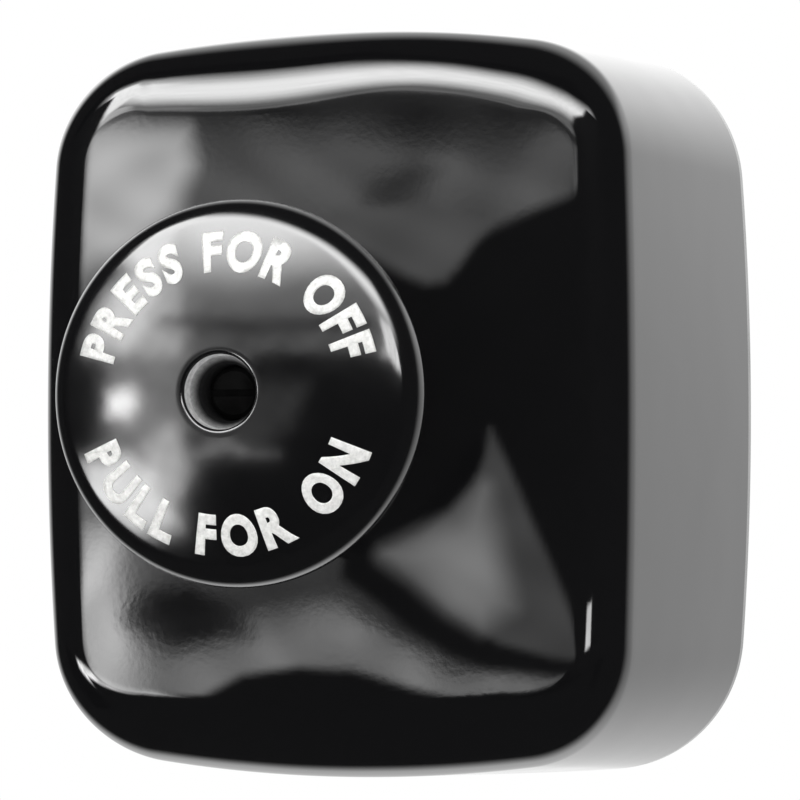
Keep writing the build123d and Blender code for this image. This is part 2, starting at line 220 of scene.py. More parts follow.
# %% [markdown]
# ## The cover
#
# Four bowed sides meet in rounded corners, once at the wall and once, a little smaller, at the
# front. Straight lines join the two outlines, as the mould's draft does. A very large sphere
# crowns the face, and a ball rolled along inside the edge rounds it off. The inside is the same
# form drawn in by the wall's thickness. The whole shell is one closed surface: out over the
# front, in through the neck hole and back along the inside to the rim.

# %% Sizes of the cover, in millimetres
BACK_HALF = (53.0, 60.0)
FRONT_HALF = (47.5, 57.6)
FRONT_HEIGHT = 55.0
APEX_HEIGHT = 62.6
BACK_BOWS = (3.0, 3.5)
FRONT_BOWS = (1.8, 5.0)
CORNER_R = (22.7, 18.9)
CROWN_R = 600.0
SIDE_EDGE_R = 8.0
END_EDGE_R = 12.6
INNER_EDGE_TIGHTENS = 0.8
TOP_EDGE_WANDERS = 1.4
WAVE_LENGTH = 58.0
WAVE_SHIFT = 12.0
WALL = 3.2
COLLAR_R = 13.0
COLLAR_HEIGHT = 63.6
COLLAR_FOOT_ROUND = 0.5
COLLAR_TOP_ROUND = 0.6
NECK_HOLE_R = 8.3
NECK_HOLE_ROUND = 0.4
NECK_HOLE_HEIGHTS = (62.0, 60.6)
OUTLINE_POINTS = (26, 34, 34)
lowest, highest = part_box("cover")
print("cover in the construction model, mm:", [round(v / MM, 1) for v in highest - lowest])

# %% The outline, as arcs that touch


def barrel_outline(half_w, half_h, corner_r, bows, side_points, corner_points, end_points):
    """Points round four bowed sides with rounded corners, starting in the middle of the right side.

    Each side arc goes through its middle and through the corner where two bows would meet. The
    corner's centre is as far from each bow's centre as that bow's radius less the corner radius.
    """
    corner = np.array([half_w - bows[0], half_h - bows[1]])
    side_r = (corner[1] ** 2 + bows[0] ** 2) / (2 * bows[0])
    end_r = (corner[0] ** 2 + bows[1] ** 2) / (2 * bows[1])
    side_centre = np.array([half_w - side_r, 0.0])
    end_centre = np.array([0.0, half_h - end_r])
    apart = end_centre - side_centre
    distance = np.linalg.norm(apart)
    reach_side = side_r - corner_r
    reach_end = end_r - corner_r
    along = (reach_side**2 - reach_end**2 + distance**2) / (2 * distance)
    across = np.sqrt(reach_side**2 - along**2)
    unit = apart / distance
    centre = side_centre + along * unit + across * np.array([-unit[1], unit[0]])
    if centre.min() < 0:
        centre = side_centre + along * unit - across * np.array([-unit[1], unit[0]])
    turn_in = np.arctan2(*(centre - side_centre)[::-1])
    turn_out = np.arctan2(*(centre - end_centre)[::-1])

    def arc(middle, radius, start, stop, count):
        angle = np.linspace(start, stop, count, endpoint=False)
        return middle + radius * np.stack([np.cos(angle), np.sin(angle)], axis=1)

    quarter = np.concatenate([
        arc(side_centre, side_r, 0.0, turn_in, side_points),
        arc(centre, corner_r, turn_in, turn_out, corner_points),
        arc(end_centre, end_r, turn_out, np.pi / 2, end_points),
        [[0.0, half_h]],
    ])
    half = np.concatenate([quarter, (quarter * [-1, 1])[-2::-1]])
    return np.concatenate([half, (half * [1, -1])[-2:0:-1]])


# %% The section, from the rim over the edge to the collar


def unit_vectors(vectors):
    """Each row divided by its own length."""
    return vectors / np.linalg.norm(vectors, axis=-1, keepdims=True)


def shell_side(inset, side_steps, arc_steps, crown_steps, inner_r):
    """Grid of points (round, along) from the wall up the side, over the edge and in to inner_r.

    Points are (x, z, height). The side is the straight line from the outline at the wall to the
    outline at the crown's top. The edge ball's centre lies its own radius inside both the side
    and the crown sphere, which gives a quadratic for its height on each line. The ball is larger
    at the two ends than at the two sides: it grows with the square of the outward normal's z.
    Along the top it also swells and shrinks in a slow wave, as a hand-polished edge does.
    """
    draw_in = APEX_HEIGHT / FRONT_HEIGHT - 1
    back_half = [b - inset for b in BACK_HALF]
    tip_half = [f - (b - f) * draw_in - inset for f, b in zip(FRONT_HALF, BACK_HALF)]
    back = barrel_outline(*back_half, CORNER_R[0] - inset, BACK_BOWS, *OUTLINE_POINTS)
    tip = barrel_outline(*tip_half, CORNER_R[1] - inset, FRONT_BOWS, *OUTLINE_POINTS)
    start = np.column_stack([back, np.zeros(len(back))])
    line = np.column_stack([tip - back, np.full(len(back), APEX_HEIGHT)]) / APEX_HEIGHT
    near_edge = start + line * FRONT_HEIGHT
    along = np.roll(near_edge, -1, axis=0) - np.roll(near_edge, 1, axis=0)
    outward = unit_vectors(np.cross(along, line))
    towards_end = outward[:, 1:2]
    towards_top = np.maximum(towards_end, 0.0)
    wave = np.cos(2 * np.pi * (start[:, :1] + WAVE_SHIFT) / WAVE_LENGTH) * towards_top**2
    edge_r = SIDE_EDGE_R + (END_EDGE_R - SIDE_EDGE_R) * towards_end**2 - INNER_EDGE_TIGHTENS * inset
    edge_r = edge_r + TOP_EDGE_WANDERS * wave
    sphere_centre = np.array([0.0, 0.0, APEX_HEIGHT - CROWN_R])
    sphere_r = CROWN_R - inset
    offset = start - edge_r * outward - sphere_centre
    a = (line**2).sum(axis=1)
    b = (line * offset).sum(axis=1)
    c = (offset**2).sum(axis=1) - (sphere_r - edge_r[:, 0]) ** 2
    height = (-b + np.sqrt(b**2 - a * c)) / a
    ball = start + line * height[:, None] - edge_r * outward
    upward = unit_vectors(ball - sphere_centre)
    steps = np.linspace(0, 1, side_steps, endpoint=False)[None, :, None]
    side = start[:, None, :] + line[:, None, :] * height[:, None, None] * steps
    angle = np.arccos((outward * upward).sum(axis=1))[:, None, None]
    swing = np.linspace(0, 1, arc_steps, endpoint=False)[None, :, None]
    from_side = np.sin((1 - swing) * angle) * outward[:, None, :]
    to_crown = np.sin(swing * angle) * upward[:, None, :]
    edge = ball[:, None, :] + edge_r[:, None] * (from_side + to_crown) / np.sin(angle)
    crown_start = (ball + edge_r * upward)[:, None, :2]
    polar = np.arctan2(crown_start[:, 0, 1], crown_start[:, 0, 0])
    ring = inner_r * np.stack([np.cos(polar), np.sin(polar)], axis=1)[:, None, :]
    inward = np.linspace(0, 1, crown_steps)[None, :, None]
    flat = crown_start * (1 - inward) + ring * inward
    lift = np.sqrt(sphere_r**2 - (flat**2).sum(axis=2, keepdims=True)) + sphere_centre[2]
    crown = np.concatenate([flat, lift], axis=2)
    return np.concatenate([side, edge, crown], axis=1), polar


def to_world(points):
    """(x, z, height above the wall) becomes (X, Y, Z)."""
    return np.stack([points[..., 0], -points[..., 2], points[..., 1]], axis=-1)


# %% The collar and the closed shell


def turned_rings(polar, profile):
    """Rings of (radius, height) at the same polar angles as the crown's lines."""
    profile = np.asarray(profile)
    radius = profile[None, :, 0] * np.ones((len(polar), 1))
    height = profile[None, :, 1] * np.ones((len(polar), 1))
    x = radius * np.cos(polar)[:, None]
    z = radius * np.sin(polar)[:, None]
    return np.stack([x, z, height], axis=-1)


def rounded(centre, radius, start, stop, count):
    """Points on a small arc of a profile, angles in degrees."""
    angle = np.radians(np.linspace(start, stop, count))
    return np.stack([centre[0] + radius * np.cos(angle), centre[1] + radius * np.sin(angle)], axis=1)


collar_foot_r = COLLAR_R + COLLAR_FOOT_ROUND
outer, polar = shell_side(inset=0.0, side_steps=40, arc_steps=30, crown_steps=46, inner_r=collar_foot_r)
inner, _ = shell_side(inset=WALL, side_steps=22, arc_steps=10, crown_steps=26, inner_r=NECK_HOLE_R)
collar_foot = float(outer[:, -1, 2].mean())
collar_profile = np.concatenate([
    rounded((collar_foot_r, collar_foot + COLLAR_FOOT_ROUND), COLLAR_FOOT_ROUND, 255, 182, 5),
    rounded((COLLAR_R - COLLAR_TOP_ROUND, COLLAR_HEIGHT - COLLAR_TOP_ROUND), COLLAR_TOP_ROUND, 0, 90, 8),
    rounded((NECK_HOLE_R + NECK_HOLE_ROUND, COLLAR_HEIGHT - NECK_HOLE_ROUND), NECK_HOLE_ROUND, 90, 180, 6),
    [(NECK_HOLE_R, height) for height in NECK_HOLE_HEIGHTS],
])
collar = turned_rings(polar, collar_profile)
shell = to_world(np.concatenate([outer, collar, inner[:, ::-1]], axis=1))
cover_faces = grid_faces(*shell.shape[:2])
cover_piece = make_mesh("cover_shell", shell, cover_faces, "housing", cover_black)
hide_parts("cover")
print("cover grid:", shell.shape[:2], "box in mm:", (shell.max((0, 1)) - shell.min((0, 1))).round(2))

# %% [markdown]
# ## The knob
#
# The knob is turned, so to speak: one profile carried round the switch's axis. Its front is a
# shallow dome with a bull-nosed rim, sunk in the middle for the screw that holds it on the rod.
# The profile closes on itself, down through the hub and the rod's socket. The top of the recess
# wall is painted pale, a painted highlight that fades further down as the light falls off, and the
# whole recess is left without gloss, so each point carries a value for either.

# %% The knob's profile
KNOB_R = 28.0
RIM_HEIGHT = 99.1
UNDER_HEIGHT = RIM_HEIGHT - 2.0
SHOULDER_HEIGHT = RIM_HEIGHT + 3.0
KNOB_APEX = 107.5
RIM_ROUND = 5.0
DOME_RISE = KNOB_APEX - SHOULDER_HEIGHT
DOME_R = (KNOB_R**2 + DOME_RISE**2) / (2 * DOME_RISE)
DOME_CENTRE = KNOB_APEX - DOME_R
MOUTH_R = 5.75
MOUTH_ROUND = 0.6
RECESS_TOP_R = 5.38
# Where the painted highlight on the recess wall ends: its radius and its height.
HIGHLIGHT_FOOT_R = 5.25
HIGHLIGHT_DOWN_TO = 105.0
TAPER_TOP_R = 5.15
TAPER_FOOT_HEIGHT = 102.6
RECESS_MIDDLE_HEIGHT = 100.0
RECESS_R = 4.1
SCREW_HEAD = 2.8
SCREW_HOLE_R = 2.6
SEAT_THICKNESS = 2.0
ROD_R = 4.0
ROD_CHAMFER = 0.3
HUB_R = 9.0
HUB_ROUND = 0.5
HUB_FILLET = 3.0
UNDER_RIM_ROUND = 1.8
# How pale the recess wall is painted at each height: a painted highlight at the top, fading below.
HIGHLIGHT_BY_HEIGHT = ([103.4, HIGHLIGHT_DOWN_TO - 0.1, HIGHLIGHT_DOWN_TO], [0.02, 0.55, 1.0])


def dome_height(radius):
    """Height of the knob's dome at a distance from its axis."""
    return DOME_CENTRE + np.sqrt(DOME_R**2 - np.square(radius))


rim_r = KNOB_R - RIM_ROUND
rim_centre_height = DOME_CENTRE + np.sqrt((DOME_R - RIM_ROUND) ** 2 - rim_r**2)
lean = np.degrees(np.arctan2(rim_centre_height - DOME_CENTRE, rim_r))
dome_start = rim_r + RIM_ROUND * np.cos(np.radians(lean))
dome_radii = np.linspace(dome_start, MOUTH_R + MOUTH_ROUND, 60)[1:]
mouth_height = dome_height(MOUTH_R + MOUTH_ROUND)
hub_rear = -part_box("knob")[1].y / MM
seat_height = -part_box("knob_screw")[0].y / MM - SCREW_HEAD
socket_height = seat_height - SEAT_THICKNESS
knob_profile = np.concatenate([
    rounded((rim_r, rim_centre_height), RIM_ROUND, 0, lean, 26),
    np.stack([dome_radii, dome_height(dome_radii)], axis=1),
    rounded((MOUTH_R + 0.25, mouth_height - MOUTH_ROUND), MOUTH_ROUND, 84, 172, 9),
    np.linspace((RECESS_TOP_R, mouth_height - 0.8), (HIGHLIGHT_FOOT_R, HIGHLIGHT_DOWN_TO), 8),
    np.linspace((TAPER_TOP_R, HIGHLIGHT_DOWN_TO - 0.15), (RECESS_R, TAPER_FOOT_HEIGHT), 8),
    [(RECESS_R, RECESS_MIDDLE_HEIGHT), (RECESS_R, seat_height)],
    [(SCREW_HOLE_R, seat_height), (SCREW_HOLE_R, socket_height)],
    [(ROD_R, socket_height), (ROD_R, hub_rear + ROD_CHAMFER), (ROD_R + ROD_CHAMFER, hub_rear)],
    rounded((HUB_R - HUB_ROUND, hub_rear + HUB_ROUND), HUB_ROUND, 270, 360, 6),
    rounded((HUB_R + HUB_FILLET, UNDER_HEIGHT - HUB_FILLET), HUB_FILLET, 180, 90, 10),
    rounded((KNOB_R - UNDER_RIM_ROUND, UNDER_HEIGHT + UNDER_RIM_ROUND), UNDER_RIM_ROUND, 270, 355, 10),
])
print("knob profile points:", len(knob_profile), "hub rear at", round(hub_rear, 2), "mm")

# %% Carry it round the axis
KNOB_STEPS = 300
turn = np.linspace(0, 2 * np.pi, KNOB_STEPS, endpoint=False)
knob_grid = to_world(turned_rings(turn, knob_profile))
knob_piece = make_mesh(
    "knob_head", knob_grid, grid_faces(*knob_grid.shape[:2]), "plunger", knob_black
)
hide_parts("knob")
# Each recess point carries its painted highlight (pale) and its lack of gloss (dull).
in_recess = knob_profile[:, 0] < RECESS_TOP_R + 0.02
highlight_along = in_recess * np.interp(knob_profile[:, 1], *HIGHLIGHT_BY_HEIGHT)
for value_name, along in (("dull", in_recess), ("pale", highlight_along)):
    values = np.tile(along.astype(np.float32), KNOB_STEPS)
    knob_piece.data.attributes.new(value_name, "FLOAT", "POINT").data.foreach_set("value", values)
    print(value_name, "points in the recess:", int((values > 0).sum()))

# %% [markdown]
# ## The lettering
#
# White words run round the knob in two arcs, one above the recess and one below it. They only
# say what the knob does. Each letter is a flat outline that is wrapped onto the dome: its
# distance along the line becomes an angle, and its height becomes a distance from the axis.

# %% White filling


def white_filling():
    """Matt white paint, a little worn and yellowed."""
    material, tree, shader = new_finish("letter_white", (0.86, 0.86, 0.84), 0.5)
    wear = noise(tree, 1400.0, detail=5.0, rough=0.7)
    paint = ramp(tree, wear, 0.30, 0.62, (0.6, 0.6, 0.58), (0.9, 0.9, 0.88))
    tree.links.new(paint, shader.inputs["Base Color"])
    return material


letter_white = white_filling()
LETTER_INNER_R = 17.6
LETTER_HEIGHT = 5.5
LETTER_PROUD = 0.06
LETTER_THICKNESS = 0.12
LETTER_GAP = 0.7
LETTER_SQUEEZE = 0.84
WORD_GAP = 0.62
CAPITAL_OF_FONT_SIZE = 0.73
BOLDER_BY = 0.055

# %% Words on an arc


def split_in_four(points, triangles):
    """Each triangle becomes four at the middles of its sides, so that it can follow the dome."""
    a, b, c = (points[triangles[:, k]] for k in range(3))
    ab, bc, ca = (a + b) / 2, (b + c) / 2, (c + a) / 2
    parts = [(a, ab, ca), (ab, b, bc), (ca, bc, c), (ab, bc, ca)]
    loose = np.concatenate([np.stack(part, axis=1) for part in parts]).reshape(-1, 2)
    merged, where = np.unique(loose.round(6), axis=0, return_inverse=True)
    return merged, where.reshape(-1, 3)


def flat_glyph(character):
    """Points and triangles of one letter, from a plain font one unit in size."""
    curve = bpy.data.curves.new("glyph", "FONT")
    curve.body = character
    curve.resolution_u = 6
    curve.offset = BOLDER_BY
    holder = bpy.data.objects.new("glyph", curve)
    bpy.context.scene.collection.objects.link(holder)
    bpy.context.view_layer.update()
    mesh = bpy.data.meshes.new_from_object(holder.evaluated_get(bpy.context.evaluated_depsgraph_get()))
    bpy.data.objects.remove(holder)
    points = np.empty(len(mesh.vertices) * 3)
    mesh.vertices.foreach_get("co", points)
    mesh.calc_loop_triangles()
    triangles = np.empty(len(mesh.loop_triangles) * 3, np.int32)
    mesh.loop_triangles.foreach_get("vertices", triangles)
    bpy.data.meshes.remove(mesh)
    return split_in_four(*split_in_four(points.reshape(-1, 3)[:, :2], triangles.reshape(-1, 3)))


def words_on_arc(text):
    """All the letters of a line, laid flat one after another and centred, in millimetres."""
    letters = []
    pen = 0.0
    scale = LETTER_HEIGHT / CAPITAL_OF_FONT_SIZE
    for character in text:
        if character == " ":
            pen += WORD_GAP * LETTER_HEIGHT * LETTER_SQUEEZE
            continue
        flat, triangles = flat_glyph(character)
        flat = flat * [scale * LETTER_SQUEEZE, scale]
        flat = flat - [flat[:, 0].min(), 0.0]
        letters.append((flat + [pen, 0.0], triangles))
        pen += flat[:, 0].max() + LETTER_GAP
    length = pen - LETTER_GAP
    return [(flat - [length / 2, 0.0], triangles) for flat, triangles in letters], length


def wrap_on_dome(flat, upper):
    """Turn (along, up) into a place on the dome; the lower line reads from left to right too."""
    middle_r = LETTER_INNER_R + LETTER_HEIGHT / 2
    if upper:
        radius = LETTER_INNER_R + flat[:, 1]
        angle = np.pi / 2 - flat[:, 0] / middle_r
    else:
        radius = LETTER_INNER_R + LETTER_HEIGHT - flat[:, 1]
        angle = -np.pi / 2 + flat[:, 0] / middle_r
    return np.stack([radius * np.cos(angle), radius * np.sin(angle), dome_height(radius)], axis=1)


print("a capital letter's height:", LETTER_HEIGHT, "mm, on the dome of radius", round(DOME_R, 1))

# %% Two lines of words
LINES = {"legend_upper": ("PRESS FOR OFF", True), "legend_lower": ("PULL FOR ON", False)}


def make_legend(name, text, upper):
    """One line of letters with a little thickness, standing a hair proud of the dome."""
    letters, length = words_on_arc(text)
    tops, triangles, count = [], [], 0
    for flat, corners in letters:
        tops.append(wrap_on_dome(flat, upper))
        triangles.append(corners + count)
        count += len(flat)
    top = np.concatenate(tops) + [0, 0, LETTER_PROUD]
    piece = make_mesh(name, to_world(top), np.concatenate(triangles), "plunger", letter_white)
    thickness = piece.modifiers.new("thickness", "SOLIDIFY")
    thickness.thickness = LETTER_THICKNESS * MM
    thickness.offset = -1.0
    print(name, "is", round(length, 1), "mm long")


for legend_name, (legend_text, is_upper) in LINES.items():
    make_legend(legend_name, legend_text, is_upper)

# %% [markdown]
# ## Finishes for the working pieces
#
# Inside sit brown phenolic, brass, copper and plated steel. Metals get a fine grain drawn out
# along their length and a slight tarnish; mouldings get a dull, cloudy skin.

# %% Metals and dull mouldings
SURFACE_GRAIN = 0.01 * MM
TARNISH_DARKENS = 0.72
CLOUD_LIGHTENS = 2.4


def rolled_metal(name, colour, roughness, stretch):
    """Strip or bar with a drawn grain and slight tarnish."""
    material, tree, shader = new_finish(name, colour, roughness, metallic=1.0)
    grain = noise(tree, 700.0, stretch=stretch)
    tarnish = noise(tree, 120.0, detail=5.0, rough=0.65)
    darker = tuple(TARNISH_DARKENS * c for c in colour)
    sheen = ramp(tree, grain, 0.3, 0.7, roughness * 0.7, roughness * 1.4)
    tree.links.new(ramp(tree, tarnish, 0.35, 0.7, colour, darker), shader.inputs["Base Color"])
    tree.links.new(sheen, shader.inputs["Roughness"])
    tree.links.new(bump(tree, grain, SURFACE_GRAIN), shader.inputs["Normal"])
    return material


def dull_moulding(name, colour, roughness):
    """Unpolished phenolic with a cloudy skin and a little flow grain."""
    material, tree, shader = new_finish(name, colour, roughness)
    cloud = noise(tree, 160.0, detail=6.0, rough=0.7)
    lighter = tuple(CLOUD_LIGHTENS * c for c in colour)
    sheen = ramp(tree, cloud, 0.3, 0.7, roughness * 0.8, roughness * 1.2)
    tree.links.new(ramp(tree, cloud, 0.38, 0.7, colour, lighter), shader.inputs["Base Color"])
    tree.links.new(sheen, shader.inputs["Roughness"])
    tree.links.new(bump(tree, noise(tree, 1500.0), SURFACE_GRAIN), shader.inputs["Normal"])
    return material


ALONG_X, ALONG_Y, ALONG_Z = (0.06, 1.0, 1.0), (1.0, 0.06, 1.0), (1.0, 1.0, 0.06)
FINISHES = {
    "plate_phenolic": dull_moulding("plate_phenolic", (0.016, 0.012, 0.010), 0.45),
    "block_phenolic": dull_moulding("block_phenolic", (0.085, 0.034, 0.018), 0.4),
    "contact_brass": rolled_metal("contact_brass", (0.78, 0.57, 0.25), 0.28, ALONG_Z),
    "screw_brass": rolled_metal("screw_brass", (0.74, 0.54, 0.25), 0.3, ALONG_Y),
    "bush_brass": rolled_metal("bush_brass", (0.70, 0.50, 0.23), 0.26, ALONG_Y),
    "bridge_copper": rolled_metal("bridge_copper", (0.80, 0.43, 0.28), 0.26, ALONG_Z),
    "screw_steel": rolled_metal("screw_steel", (0.52, 0.52, 0.53), 0.32, ALONG_Y),
    "washer_steel": rolled_metal("washer_steel", (0.56, 0.56, 0.56), 0.34, ALONG_X),
    "frame_steel": rolled_metal("frame_steel", (0.50, 0.50, 0.51), 0.36, ALONG_X),
    "spring_steel": rolled_metal("spring_steel", (0.26, 0.26, 0.28), 0.3, ALONG_Z),
    "rod_steel": rolled_metal("rod_steel", (0.60, 0.60, 0.61), 0.2, ALONG_Y),
}
knob_screw_dark = dull_moulding("knob_screw_dark", (0.006, 0.006, 0.006), 0.55)
knob_screw_dark.node_tree.nodes["Principled BSDF"].inputs["Specular IOR Level"].default_value = 0.0

# %% Dress the construction model's own pieces
slot_of = {entry["node"]: entry["material_slot"] for entry in frame["record"]["subparts"]}
for node_name, node in frame["nodes"].items():
    if node.hide_render:
        continue
    dress = knob_screw_dark if node_name == "knob_screw" else FINISHES[slot_of[node_name]]
    node.data.materials.clear()
    node.data.materials.append(dress)
print("dressed:", sum(not n.hide_render for n in frame["nodes"].values()), "pieces")

# %% [markdown]
# ## The studio
#
# A glossy black thing is lit by what it mirrors. The surround is white behind the switch and dark
# in front of it: the white turns the right flank grey and draws a thin light line round the
# edges, and the dark keeps the face black. In front hangs a tent of soft cards. The long one high
# up draws the white line along the top edge, and dimmer ones at the left and below cloud the face.

# %% Floor
FLOOR_HEIGHT = -0.16


def pale_floor(height, radius, grey):
    """A round pale floor, large enough for the shadow and no larger."""
    material, _, _ = new_finish("floor_paper", (grey, grey, grey), 0.9)
    angle = np.linspace(0, 2 * np.pi, 96, endpoint=False)
    rim = [(radius * np.cos(a), radius * np.sin(a), height) for a in angle]
    mesh = bpy.data.meshes.new("floor")
    mesh.from_pydata(rim, [], [tuple(range(len(rim)))])
    mesh.materials.append(material)
    floor = bpy.data.objects.new("floor", mesh)
    bpy.context.scene.collection.objects.link(floor)
    floor.visible_glossy = False


pale_floor(FLOOR_HEIGHT, radius=1.2, grey=0.8)
print("the floor is", round(-FLOOR_HEIGHT / MM), "mm below the middle of the switch")

# %% [markdown]
# Each card of the tent is cut to a shape, given by its corners as seen from the switch: degrees
# to the right and degrees up. Then come the softness of its edge, in degrees, and how bright it
# is, where one is the white that the camera sees behind the switch. A dark spot says instead how
# much of that light it takes away. The tent is a piece of a sphere round the switch, and each of
# its points keeps the brightest card there. Only the switch's gloss sees the tent: its colours
# are lit by the even light of the surround alone.

# %% Cards of the tent
TENT_RADIUS = 1.3
TENT_RIGHT = (-80.0, 60.0)
TENT_UP = (-40.0, 72.0)
TENT_POINTS = (351, 281)
CARDS = {
    "ceiling_far_left": ([(-62, 44), (-52, 28), (-37, 22), (-33, 43), (-38, 52), (-50, 55)], 6.0, 13.0),
    "ceiling": (
        [(-60, 43), (-44, 33), (-30, 28), (-16, 28), (4, 31), (22, 29), (50, 25), (50, 42), (26, 50),
         (-14, 54), (-48, 54)],
        22.0, 13.5,
    ),
    "right_window": ([(18, 9.5), (50, 8), (46, 24), (28, 22), (20, 17)], 3.0, 11.0),
    "wall_grey": (
        [(-31, 8.3), (-28, 6.3), (-14, 6), (-12.3, 7), (-10.5, 8.7), (-8, 10), (26, 9.3), (26, 14.8),
         (-31, 14.8)],
        1.0, 1.2,
    ),
    "wall_upper": ([(-26, 15), (24, 15), (26, 33), (-26, 33)], 5.0, 1.8),
    "left_upper": ([(-52, 10), (-41, 9), (-36, 15), (-35, 24), (-43, 26), (-50, 20)], 6.0, 11.0),
    "left_upper_tail": ([(-44, 9), (-27.5, 8), (-27, 14.5), (-30, 24), (-44, 28)], 4.0, 6.5),
    "left_spill": ([(-46, -9), (-25, -9), (-22, 24), (-46, 26)], 9.0, 2.4),
    "left_middle": ([(-45.5, -2.5), (-39.5, -3.6), (-37, 0), (-39.5, 3), (-45.5, 2)], 4.5, 17.0),
    "left_low": ([(-54, -11), (-42, -10), (-34, -13), (-32, -25), (-44, -25), (-55, -18)], 6.0, 13.0),
    "left_low_tail": ([(-38, -8), (-28, -3), (-26, -14), (-32, -22)], 3.0, 7.0),
    "middle_glow": ([(-34, -12), (-14, -12), (-2, -6), (2, 4), (-10, 3), (-34, 3)], 5.0, 0.45),
    "floor_left": (
        [(-33, -9.9), (-23.5, -7.4), (-17, -7.2), (-11, -10.6), (-5, -11.0), (-4.5, -12.3), (-14, -11.7),
         (-17, -10.9), (-23, -12), (-33, -14)],
        0.7, 2.3,
    ),
}
DARK_SPOTS = {
    "oval": (
        [(-27, -7.1), (-24.2, -6.2), (-21.6, -7.3), (-21.8, -9.1), (-25.8, -10), (-28, -8.5)], 1.1, 0.95,
    ),
    "beam": (
        [(-34, 14.6), (-25, 14.3), (-12, 13.6), (-6, 14.2), (4, 15), (16, 15), (16, 17.5), (0, 17.8),
         (-12, 17.3), (-34, 17)],
        1.8, 0.8,
    ),
    "smudge": ([(-16, 11.2), (-13.5, 13), (-12, 12.2), (-13, 11), (-14.5, 10.5)], 2.0, 0.6),
}
MOTTLING_BY_UP = ([15, 24], [0.35, 0.06])


def card_shape(right, up, corners, softness):
    """One inside the card and zero outside, with an S-shaped edge.

    A point's depth is its distance from the nearest side of the card, counted as negative
    outside. A point is inside when a line from it to the right crosses the sides an odd number
    of times.
    """
    depth = np.full(right.shape, np.inf)
    inside = np.zeros(right.shape, bool)
    for (x0, y0), (x1, y1) in zip(corners, corners[1:] + corners[:1]):
        dx, dy = x1 - x0, y1 - y0
        along = np.clip(((right - x0) * dx + (up - y0) * dy) / (dx * dx + dy * dy), 0, 1)
        depth = np.minimum(depth, np.hypot(right - x0 - along * dx, up - y0 - along * dy))
        crosses = (up < y0) != (up < y1)
        inside ^= crosses & (right < x0 + (up - y0) * dx / (dy if dy else 1.0))
    edge = np.clip(np.where(inside, depth, -depth) / softness + 0.5, 0, 1)
    return edge * edge * (3 - 2 * edge)


def tent_glow(right, up):
    """The brightest card at each point, less the dark spots, with the mottling of a painted wall.

    Two sine waves across each other, each bent by a slower one, make the mottling. It is strong
    low down and faint in the lights overhead.
    """
    glow = np.max([level * card_shape(right, up, *shape) for *shape, level in CARDS.values()], axis=0)
    for *shape, darkness in DARK_SPOTS.values():
        glow = glow * (1 - darkness * card_shape(right, up, *shape))
    mottling = np.sin(0.9 * right + 1.3 * np.sin(0.5 * up)) * np.sin(1.1 * up + 1.7 * np.sin(0.3 * right))
    return glow * (1 + np.interp(up, *MOTTLING_BY_UP) * mottling)


print("soft cards:", len(CARDS), "dark spots:", len(DARK_SPOTS))

# %% Hang the tent


def glowing(name, strength_from):
    """A material that only shines, as strongly as the named value of each point says."""
    material = bpy.data.materials.new(name)
    material.use_nodes = True
    tree = material.node_tree
    tree.nodes.clear()
    light = tree.nodes.new("ShaderNodeEmission")
    output = tree.nodes.new("ShaderNodeOutputMaterial")
    tree.links.new(point_value(tree, strength_from), light.inputs["Strength"])
    tree.links.new(light.outputs["Emission"], output.inputs["Surface"])
    return material


def hang(name, points, faces, material):
    """A piece of the studio that the switch mirrors, but which isn't seen and casts no shadow."""
    mesh = bpy.data.meshes.new(name)
    mesh.from_pydata(np.asarray(points).reshape(-1, 3).tolist(), [], np.asarray(faces).tolist())
    mesh.materials.append(material)
    piece = bpy.data.objects.new(name, mesh)
    bpy.context.scene.collection.objects.link(piece)
    piece.visible_camera = False
    piece.visible_shadow = False
    piece.visible_diffuse = False
    return mesh


across, upwards = (np.linspace(*span, count) for span, count in zip((TENT_RIGHT, TENT_UP), TENT_POINTS))
right, up = np.meshgrid(across, upwards, indexing="ij")
east, north = np.radians(right), np.radians(up)
tent_points = TENT_RADIUS * np.stack(
    [np.sin(east) * np.cos(north), -np.cos(east) * np.cos(north), np.sin(north)], axis=-1
)
tent_faces = grid_faces(*right.shape, close_rows=False, close_columns=False)
tent = hang("tent", tent_points, tent_faces, glowing("tent_glow", "glow"))
tent.attributes.new("glow", "FLOAT", "POINT").data.foreach_set("value", tent_glow(right, up).ravel())
print("points in the tent:", right.size)

# %% [markdown]
# The knob stands well in front of the box, so a sheet can hang between them that only the box's
# face mirrors. It is clear film with black paper on it, which keeps the lights out of the box's
# rounded sides and its middle, and with a few pale patches. Corners are in millimetres to the right
# and up, and so is the softness of an edge. From the front the sheet is clear all over, so that the
# knob mirrors the tent and the surround. Papers are laid in the order of the list, each over the
# ones before it.

